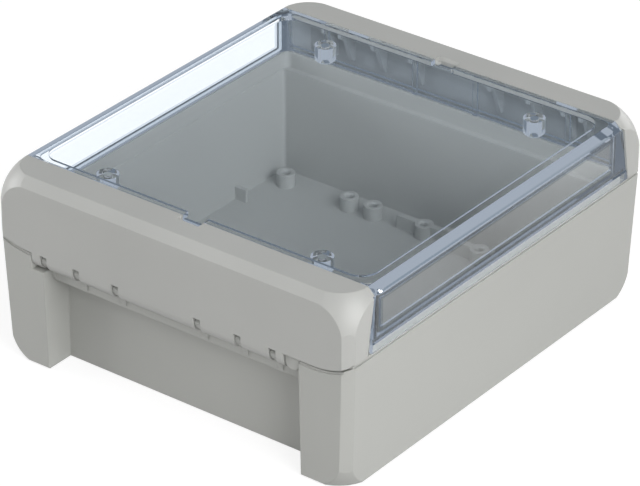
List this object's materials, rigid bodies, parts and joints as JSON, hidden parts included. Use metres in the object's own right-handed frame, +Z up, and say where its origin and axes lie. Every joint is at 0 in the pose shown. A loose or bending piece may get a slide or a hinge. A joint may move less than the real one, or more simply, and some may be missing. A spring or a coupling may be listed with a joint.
{
  "type": "plastic project box",
  "caption": "Light grey moulded enclosure with a clear lid that has a sunk field, a hinged strip over each end, recesses under the strips and floor bosses inside.",
  "frame": {"origin": "centre of the underside of the closed box", "axes": "+X to the right along the strips, +Y from the front strip to the back strip, +Z up"},
  "size_m": [0.125, 0.141, 0.06],
  "materials": {
    "base_grey": "fine moulded satin",
    "lid_clear": "clear, polished",
    "seal_soft": "soft matt",
    "strip_grey": "fine moulded satin"
  },
  "bodies": {
    "base_body": {"base": "base_grey", "seal": "seal_soft"},
    "lid_body": {"lid": "lid_clear"},
    "front_strip_body": {"front_strip": "strip_grey"},
    "back_strip_body": {"back_strip": "strip_grey"}
  },
  "joints": [
    {"name": "front_strip_hinge", "type": "hinge", "parent": "base_body", "child": "front_strip_body", "pos_m": [0, -0.0678, 0.0347], "axis": [1, 0, 0], "range_deg": [0, 85]},
    {"name": "lid_hinge", "type": "hinge", "parent": "base_body", "child": "lid_body", "pos_m": [0, 0.0678, 0.0347], "axis": [-1, 0, 0], "range_deg": [0, 85]},
    {"name": "back_strip_hinge", "type": "hinge", "parent": "base_body", "child": "back_strip_body", "pos_m": [0, 0.0678, 0.0347], "axis": [-1, 0, 0], "range_deg": [0, 85]}
  ],
  "couplings": [
    {"joint": "back_strip_hinge", "follows": "lid_hinge", "ratio": 1}
  ]
}
